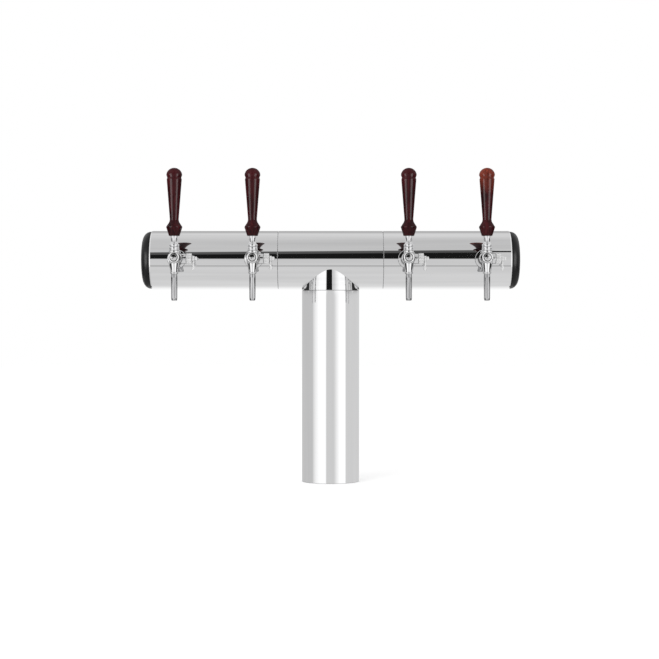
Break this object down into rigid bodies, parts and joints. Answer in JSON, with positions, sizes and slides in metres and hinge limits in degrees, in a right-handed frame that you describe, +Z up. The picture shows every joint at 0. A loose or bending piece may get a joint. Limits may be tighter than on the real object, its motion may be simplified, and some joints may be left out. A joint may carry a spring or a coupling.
{
  "type": "draught beer tower",
  "caption": "T-shaped draught beer tower: a round polished column carries a round head with black domed ends and a row of taps with turned wooden handles and side flow levers.",
  "frame": {"origin": "on the column's axis in the plane of the counter that the tower stands on", "axes": "+Z up along the column, +X along the head to the viewer's right, -Y toward the taps and the person who pours"},
  "size_m": [0.6544, 0.1572, 0.534],
  "materials": {
    "polished_tube": "polished",
    "tap_chrome": "polished",
    "steel": "satin",
    "brass": "machined",
    "black_plastic": "satin",
    "varnished_wood": "glossy dark red-brown varnish",
    "foam": "rigid insulation foam",
    "line_tube": "translucent tubing"
  },
  "bodies": {
    "tower": {"tee": "polished_tube", "left_arm_tube": "polished_tube", "right_arm_tube": "polished_tube", "column_tube": "polished_tube", "left_arm_sleeve": "steel", "right_arm_sleeve": "steel", "column_sleeve": "steel", "base_plate": "steel", "left_end_cap": "black_plastic", "right_end_cap": "black_plastic", "head_foam_core": "foam", "column_foam_core": "foam", "beer_line_1": "line_tube", "tap_1_flange": "tap_chrome", "tap_1_body": "tap_chrome", "tap_1_tail_nut": "brass", "tap_1_spout": "steel", "tap_1_collar_nut": "tap_chrome", "tap_1_flow_gland": "tap_chrome", "beer_line_2": "line_tube", "tap_2_flange": "tap_chrome", "tap_2_body": "tap_chrome", "tap_2_tail_nut": "brass", "tap_2_spout": "steel", "tap_2_collar_nut": "tap_chrome", "tap_2_flow_gland": "tap_chrome", "beer_line_3": "line_tube", "tap_3_flange": "tap_chrome", "tap_3_body": "tap_chrome", "tap_3_tail_nut": "brass", "tap_3_spout": "steel", "tap_3_collar_nut": "tap_chrome", "tap_3_flow_gland": "tap_chrome", "beer_line_4": "line_tube", "tap_4_flange": "tap_chrome", "tap_4_body": "tap_chrome", "tap_4_tail_nut": "brass", "tap_4_spout": "steel", "tap_4_collar_nut": "tap_chrome", "tap_4_flow_gland": "tap_chrome"},
    "tap_1_lever_group": {"tap_1_lever": "tap_chrome", "tap_1_handle": "varnished_wood"},
    "tap_1_valve": {"tap_1_valve_plunger": "steel"},
    "tap_1_flow_lever_group": {"tap_1_flow_lever": "tap_chrome"},
    "tap_1_flow_cone_group": {"tap_1_flow_cone": "black_plastic"},
    "tap_2_lever_group": {"tap_2_lever": "tap_chrome", "tap_2_handle": "varnished_wood"},
    "tap_2_valve": {"tap_2_valve_plunger": "steel"},
    "tap_2_flow_lever_group": {"tap_2_flow_lever": "tap_chrome"},
    "tap_2_flow_cone_group": {"tap_2_flow_cone": "black_plastic"},
    "tap_3_lever_group": {"tap_3_lever": "tap_chrome", "tap_3_handle": "varnished_wood"},
    "tap_3_valve": {"tap_3_valve_plunger": "steel"},
    "tap_3_flow_lever_group": {"tap_3_flow_lever": "tap_chrome"},
    "tap_3_flow_cone_group": {"tap_3_flow_cone": "black_plastic"},
    "tap_4_lever_group": {"tap_4_lever": "tap_chrome", "tap_4_handle": "varnished_wood"},
    "tap_4_valve": {"tap_4_valve_plunger": "steel"},
    "tap_4_flow_lever_group": {"tap_4_flow_lever": "tap_chrome"},
    "tap_4_flow_cone_group": {"tap_4_flow_cone": "black_plastic"}
  },
  "joints": [
    {"name": "tap_1_pull", "type": "hinge", "parent": "tower", "child": "tap_1_lever_group", "pos_m": [-0.262, -0.093, 0.4049], "axis": [1, 0, 0], "range_deg": [0, 32]},
    {"name": "tap_1_valve_slide", "type": "slide", "parent": "tower", "child": "tap_1_valve", "axis": [0, 1, 0], "range_m": [0, 0.0094]},
    {"name": "tap_1_flow_turn", "type": "hinge", "parent": "tower", "child": "tap_1_flow_lever_group", "pos_m": [-0.262, -0.0635, 0.3834], "axis": [-1, 0, 0], "range_deg": [0, 90]},
    {"name": "tap_1_flow_slide", "type": "slide", "parent": "tower", "child": "tap_1_flow_cone_group", "axis": [0, -1, 0], "range_m": [0, 0.0034]},
    {"name": "tap_2_pull", "type": "hinge", "parent": "tower", "child": "tap_2_lever_group", "pos_m": [-0.131, -0.093, 0.4049], "axis": [1, 0, 0], "range_deg": [0, 32]},
    {"name": "tap_2_valve_slide", "type": "slide", "parent": "tower", "child": "tap_2_valve", "axis": [0, 1, 0], "range_m": [0, 0.0094]},
    {"name": "tap_2_flow_turn", "type": "hinge", "parent": "tower", "child": "tap_2_flow_lever_group", "pos_m": [-0.131, -0.0635, 0.3834], "axis": [-1, 0, 0], "range_deg": [0, 90]},
    {"name": "tap_2_flow_slide", "type": "slide", "parent": "tower", "child": "tap_2_flow_cone_group", "axis": [0, -1, 0], "range_m": [0, 0.0034]},
    {"name": "tap_3_pull", "type": "hinge", "parent": "tower", "child": "tap_3_lever_group", "pos_m": [0.131, -0.093, 0.4049], "axis": [1, 0, 0], "range_deg": [0, 32]},
    {"name": "tap_3_valve_slide", "type": "slide", "parent": "tower", "child": "tap_3_valve", "axis": [0, 1, 0], "range_m": [0, 0.0094]},
    {"name": "tap_3_flow_turn", "type": "hinge", "parent": "tower", "child": "tap_3_flow_lever_group", "pos_m": [0.131, -0.0635, 0.3834], "axis": [-1, 0, 0], "range_deg": [0, 90]},
    {"name": "tap_3_flow_slide", "type": "slide", "parent": "tower", "child": "tap_3_flow_cone_group", "axis": [0, -1, 0], "range_m": [0, 0.0034]},
    {"name": "tap_4_pull", "type": "hinge", "parent": "tower", "child": "tap_4_lever_group", "pos_m": [0.262, -0.093, 0.4049], "axis": [1, 0, 0], "range_deg": [0, 32]},
    {"name": "tap_4_valve_slide", "type": "slide", "parent": "tower", "child": "tap_4_valve", "axis": [0, 1, 0], "range_m": [0, 0.0094]},
    {"name": "tap_4_flow_turn", "type": "hinge", "parent": "tower", "child": "tap_4_flow_lever_group", "pos_m": [0.262, -0.0635, 0.3834], "axis": [-1, 0, 0], "range_deg": [0, 90]},
    {"name": "tap_4_flow_slide", "type": "slide", "parent": "tower", "child": "tap_4_flow_cone_group", "axis": [0, -1, 0], "range_m": [0, 0.0034]}
  ],
  "couplings": [
    {"joint": "tap_1_valve_slide", "follows": "tap_1_pull", "m_per_rad": 0.01674},
    {"joint": "tap_1_flow_slide", "follows": "tap_1_flow_turn", "m_per_rad": 0.00216},
    {"joint": "tap_2_valve_slide", "follows": "tap_2_pull", "m_per_rad": 0.01674},
    {"joint": "tap_2_flow_slide", "follows": "tap_2_flow_turn", "m_per_rad": 0.00216},
    {"joint": "tap_3_valve_slide", "follows": "tap_3_pull", "m_per_rad": 0.01674},
    {"joint": "tap_3_flow_slide", "follows": "tap_3_flow_turn", "m_per_rad": 0.00216},
    {"joint": "tap_4_valve_slide", "follows": "tap_4_pull", "m_per_rad": 0.01674},
    {"joint": "tap_4_flow_slide", "follows": "tap_4_flow_turn", "m_per_rad": 0.00216}
  ]
}
